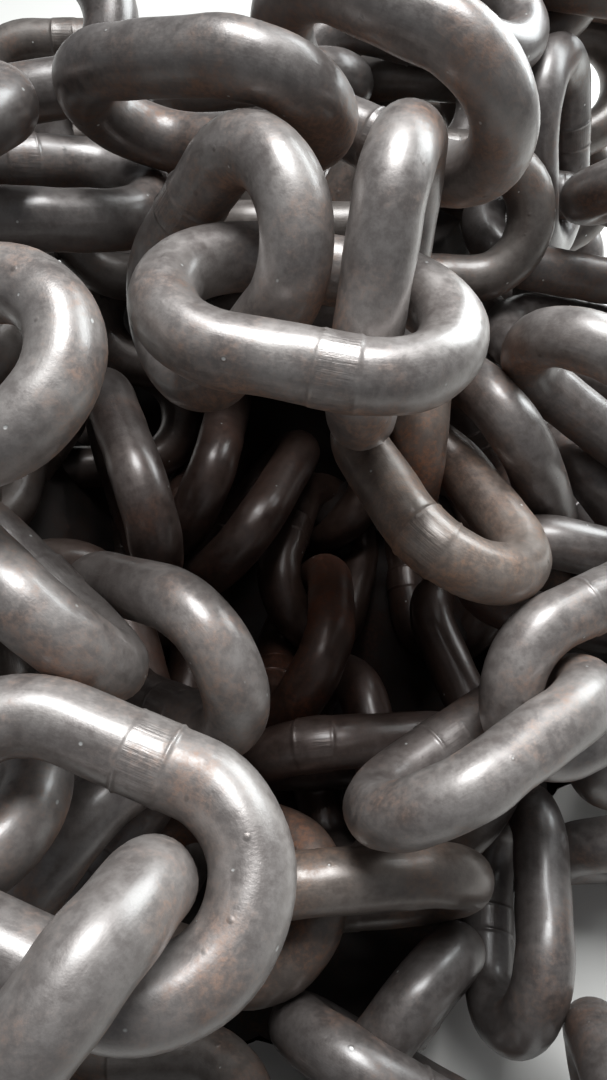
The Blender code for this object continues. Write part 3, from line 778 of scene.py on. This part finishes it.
def eased_apart(centres, axes, still_centres, still_axes):
    """New centres and axes of loose links, between links that stay still."""
    loose = len(centres)
    still = ring_points(still_centres, still_axes)
    every_centre = np.concatenate((centres, still_centres))
    reach = NEIGHBOUR_REACH * (INNER_LENGTH + 2 * BAR_DIAMETER)
    near = np.linalg.norm(centres[:, None] - every_centre, axis=-1) < reach
    pairs = np.argwhere(near & (np.arange(len(every_centre)) > np.arange(loose)[:, None]))
    both = pairs[:, 1] < loose
    for _ in range(ROUNDS):
        points = ring_points(centres, axes)
        every = np.concatenate((points, still))
        distance, on_one, on_other = nearest_points(every[pairs[:, 0]], every[pairs[:, 1]])
        amount = np.clip(BAR_DIAMETER - CORE_BITE * both + BAR_GAP - distance, 0, LARGEST_PUSH)
        direction = (on_one - on_other) / np.maximum(distance, 1e-6)[:, None]
        lowest = points[np.arange(loose), points[..., 2].argmin(axis=1)]
        lift = np.clip(bar_radius + FLOOR_GAP - lowest[:, 2], 0, LARGEST_PUSH)
        link = np.concatenate((pairs[:, 0], pairs[both, 1], np.arange(loose)))
        point = np.concatenate((on_one, on_other[both], lowest))
        push = np.concatenate((direction, -direction[both], np.tile((0.0, 0.0, 1.0), (loose, 1))))
        size = np.concatenate((np.where(both, 0.5, 1.0) * amount, 0.5 * amount[both], lift))
        lever = np.cross(point - centres[link], push) / turning_arm
        size /= 1 + (lever ** 2).sum(-1)
        shifts, spins = np.zeros((loose, 3)), np.zeros((loose, 3))
        touches = np.zeros((loose, 1))
        np.add.at(shifts, link, push * size[:, None])
        np.add.at(spins, link, lever / turning_arm * size[:, None])
        np.add.at(touches, link, size[:, None] > 0)
        ease = np.sqrt(np.maximum(touches, 1))
        centres = centres + shifts / ease
        axes = spun(axes, spins / ease)
    return centres, axes


centres, axes = eased_apart(centres, axes, *map(np.array, zip(*(poses[name] for name in link_names))))
print("eased", len(centres), "links apart")

# %% [markdown]
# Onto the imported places
#
# What is left is a few millimetres. A packed link has known corners, and those of the core's
# links are among the core's. So each corner of a link looks for the nearest corner of the core,
# and the link takes the turn and shift that fit all the pairs best. Each pass looks less far.

# %% Match each link's corners to the core's
from mathutils.kdtree import KDTree

REACHES = (0.010, 0.008, 0.006, 0.005, 0.004, 0.003, 0.003, 0.002, 0.002, 0.002)
FEWEST_CORNERS = 12
first_link = cad_nodes[link_names[0]].data
link_corners = np.unique(np.round([vertex.co for vertex in first_link.vertices], 5), axis=0)
link_corners = (link_corners - poses[link_names[0]][0]) @ poses[link_names[0]][1]
core_corners = np.array([vertex.co for vertex in cad_nodes["buried_core"].data.vertices])
core_tree = KDTree(len(core_corners))
for number, corner in enumerate(core_corners):
    core_tree.insert(corner, number)
core_tree.balance()


def best_fit(corners, targets):
    """Centre and axes that carry a link's own corners onto their targets."""
    corner_middle, target_middle = corners.mean(axis=0), targets.mean(axis=0)
    left, _, right = np.linalg.svd((targets - target_middle).T @ (corners - corner_middle))
    turn = left @ np.diag([1, 1, np.sign(np.linalg.det(left @ right))]) @ right
    return target_middle - turn @ corner_middle, turn


misses = np.zeros(len(centres))
for reach in REACHES:
    for link in range(len(centres)):
        found = [core_tree.find(corner) for corner in link_corners @ axes[link].T + centres[link]]
        near = np.array([distance < reach for _, _, distance in found])
        if near.sum() >= FEWEST_CORNERS:
            targets = core_corners[[index for _, index, _ in found]]
            centres[link], axes[link] = best_fit(link_corners[near], targets[near])
            misses[link] = np.mean([distance for _, _, distance in found if distance < reach])
print(f"corners match within {1000 * misses.mean():.2f} mm, at worst {1000 * misses.max():.2f} mm")

# %% Make the buried runs
BURIED_SIDES = 20
BURIED_SPACING = 0.0048


def make_run(piece_name, members, run_centres, run_axes, first_seed):
    """One piece of a run's links, which stands for part of the core."""
    surfaces = [link_surface((run_centres[link], run_axes[link]), BURIED_SIDES, BURIED_SPACING, 0.0,
                             np.random.default_rng(first_seed + link)) for link in members]
    make_piece(piece_name, mesh_from(piece_name, surfaces), "buried_iron", ["buried_core"])


for run in BURIED_RUNS:
    members = [link for link, name in enumerate(run_names) if name == run]
    make_run(f"buried_{run}", members, centres, axes, SEED + 100)
print("made", len(BURIED_RUNS), "runs inside the heap")

# %% [markdown]
# Chain half sunk in the left flank
#
# On the left the heap is low and plain, and the core's mound would show bare. Real chain lies
# there half sunk in its own grit. A row of rays feels for the mound's side at one height, a
# run of hooked links is strung along the line that they find, a little inside it, and the run
# is eased clear of every other link as before.

# %% Lay the flank runs
from mathutils.bvhtree import BVHTree

# A run's height, where it starts along the flank, and its number of links
FLANK_RUNS = {"flank_low": (0.037, -0.17, 5), "flank_high": (0.112, -0.13, 4)}
FLANK_SINK = 0.010
FLANK_ROLL = 45
FEELER_STEP = 0.003
FEELER_START = 0.1
core_mesh = cad_nodes["buried_core"].data
core_sides = BVHTree.FromPolygons([vertex.co for vertex in core_mesh.vertices],
                                  [face.vertices for face in core_mesh.polygons])


def flank_links(height, start, count):
    """Centres and axes of links strung along the left side of the mound."""
    pitch = INNER_LENGTH - CORE_BITE
    line = []
    for y in start + FEELER_STEP * np.arange(round(pitch * (count + 1) / FEELER_STEP)):
        hit = core_sides.ray_cast((cad_low.x - FEELER_START, y, height), (1, 0, 0))[0]
        if hit is not None:
            line.append(np.array(hit) + (FLANK_SINK, 0, 0))
    line = np.array(line)
    length = np.concatenate(([0], np.cumsum(np.linalg.norm(np.diff(line, axis=0), axis=1))))
    places = pitch * np.arange(count + 1)
    hooks = np.column_stack([np.interp(places, length, line[:, k]) for k in range(3)])
    for number, (first, last) in enumerate(zip(hooks[:-1], hooks[1:])):
        long_axis = (last - first) / np.linalg.norm(last - first)
        outward = np.cross(long_axis, (0.0, 0.0, 1.0))
        upward = np.cross(outward, long_axis)
        roll = math.radians(FLANK_ROLL - QUARTER_TURN * (number % 2))
        wide_axis = math.cos(roll) * upward + math.sin(roll) * outward
        flat_axis = np.cross(long_axis, wide_axis)
        yield (first + last) / 2, np.column_stack((long_axis, wide_axis, flat_axis))


still_centres = np.concatenate((centres, [poses[name][0] for name in link_names]))
still_axes = np.concatenate((axes, [poses[name][1] for name in link_names]))
flank_names = [name for name, run in FLANK_RUNS.items() for _ in range(run[2])]
laid = [link for run in FLANK_RUNS.values() for link in flank_links(*run)]
flank_centres, flank_axes = eased_apart(*map(np.array, zip(*laid)), still_centres, still_axes)
for run in FLANK_RUNS:
    members = [link for link, name in enumerate(flank_names) if name == run]
    make_run(run, members, flank_centres, flank_axes, SEED + 200)
print(len(flank_names), "links along the left flank, from x =", round(float(flank_centres[:, 0].min()), 3))

# %% [markdown]
# The bottom of the heap
#
# Under the last links lies a mass of what the chain sheds: scale, rust and grit. It is coloured
# nearly black, which is painted shade for the gaps deep in the heap. It is a copy of the imported
# core, cast again in small even faces, so that it is closed and has points to move, and pushed in,
# more and less, by a lumpy noise. The core's own links shrink with it and vanish inside the smooth
# ones. Its underside stays flat on the floor.

# %% Make the dark bottom, painted shade in the deep gaps
from mathutils import noise as lumps

GRAIN = 0.006
LEAST_SINK = 0.0022
LUMP_SINK = 0.0046
LUMP_SCALE = 70.0
LUMP_SMOOTHNESS = 0.8
LUMP_SHRINKING = 2.0
LUMP_OCTAVES = 4
FOOT_HEIGHT = 0.004
# The grit has no weld, so its bar_place is far from where a weld would be
FAR_FROM_WELD = 1.0


def painted_shade_bottom(name):
    """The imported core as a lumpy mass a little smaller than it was."""
    rough_cast = bpy.data.objects.new("rough_cast", cad_nodes["buried_core"].data.copy())
    bpy.context.scene.collection.objects.link(rough_cast)
    even_faces = rough_cast.modifiers.new("even_faces", "REMESH")
    even_faces.mode = "VOXEL"
    even_faces.voxel_size = GRAIN
    mesh = bpy.data.meshes.new_from_object(rough_cast.evaluated_get(bpy.context.evaluated_depsgraph_get()))
    bpy.data.objects.remove(rough_cast)
    mesh.name = name
    mesh.materials.clear()
    for vertex, normal in [(vertex, vertex.normal.copy()) for vertex in mesh.vertices]:
        lump = lumps.fractal(vertex.co * LUMP_SCALE, LUMP_SMOOTHNESS, LUMP_SHRINKING, LUMP_OCTAVES)
        foot = vertex.co.z < FOOT_HEIGHT
        vertex.co -= normal * (LEAST_SINK + LUMP_SINK * min(max(0.5 + 0.5 * lump, 0.0), 1.0))
        if foot:
            vertex.co.z = 0.0
    place = mesh.attributes.new("bar_place", "FLOAT_VECTOR", "CORNER")
    place.data.foreach_set("vector", np.full(3 * len(mesh.loops), FAR_FROM_WELD))
    mesh.shade_smooth()
    return mesh


bottom = make_piece("painted_shade_bottom", painted_shade_bottom("painted_shade_bottom"), "buried_iron", ["buried_core"],
                    finish="painted_shade_grit")
print("bottom of", len(bottom.data.polygons), "faces")

# %% [markdown]
# The plain studio
#
# A pale floor, one large soft light overhead and a little behind, whose reflection runs along
# the tops of the bars, a second one close by at the back right, so that the right side is paler
# than the left, and a dim sky all round that fills the shadows. The view is shown without a
# film curve, because a phone's picture has white highlights and deep shade.

# %% Floor, lights and sky
FLOOR_HALF = 6.0
FLOOR_COLOUR = (0.72, 0.70, 0.67, 1)
FLOOR_ROUGHNESS = 0.9
SKY_COLOUR = (0.9, 0.95, 1.0, 1)
SKY_STRENGTH = 0.16
heap_centre = (cad_low + cad_high) / 2


def soft_light(name, direction, distance, size, power, colour):
    """A square area light that looks at the heap from a direction."""
    data = bpy.data.lights.new(name, "AREA")
    data.shape = "SQUARE"
    data.size = size
    data.energy = power
    data.color = colour
    light = bpy.data.objects.new(name, data)
    offset = np.array(direction) / np.linalg.norm(direction) * distance
    light.location = [c + o for c, o in zip(heap_centre, offset)]
    light.rotation_euler = (heap_centre - light.location).to_track_quat("-Z", "Y").to_euler()
    bpy.context.scene.collection.objects.link(light)


soft_light("overhead_light", direction=(0.05, 0.37, 0.93), distance=1.7, size=0.78, power=38,
           colour=(0.95, 0.985, 1.0))
soft_light("back_light", direction=(0.72, 0.74, 0.40), distance=1.0, size=0.62, power=11,
           colour=(0.90, 0.975, 1.0))

world = bpy.data.worlds.new("dim_sky")
world.use_nodes = True
world.node_tree.nodes["Background"].inputs["Color"].default_value = SKY_COLOUR
world.node_tree.nodes["Background"].inputs["Strength"].default_value = SKY_STRENGTH
bpy.context.scene.world = world
bpy.context.scene.view_settings.view_transform = "Standard"

floor_corners = [(x * FLOOR_HALF, y * FLOOR_HALF, 0) for x, y in ((-1, -1), (1, -1), (1, 1), (-1, 1))]
floor_mesh = bpy.data.meshes.new("floor")
floor_mesh.from_pydata(floor_corners, [], [(0, 1, 2, 3)])
floor_material = bpy.data.materials.new("pale_floor")
floor_material.use_nodes = True
floor_shader = floor_material.node_tree.nodes["Principled BSDF"]
floor_shader.inputs["Base Color"].default_value = FLOOR_COLOUR
floor_shader.inputs["Roughness"].default_value = FLOOR_ROUGHNESS
floor_mesh.materials.append(floor_material)
floor = bpy.data.objects.new("floor", floor_mesh)
bpy.context.scene.collection.objects.link(floor)
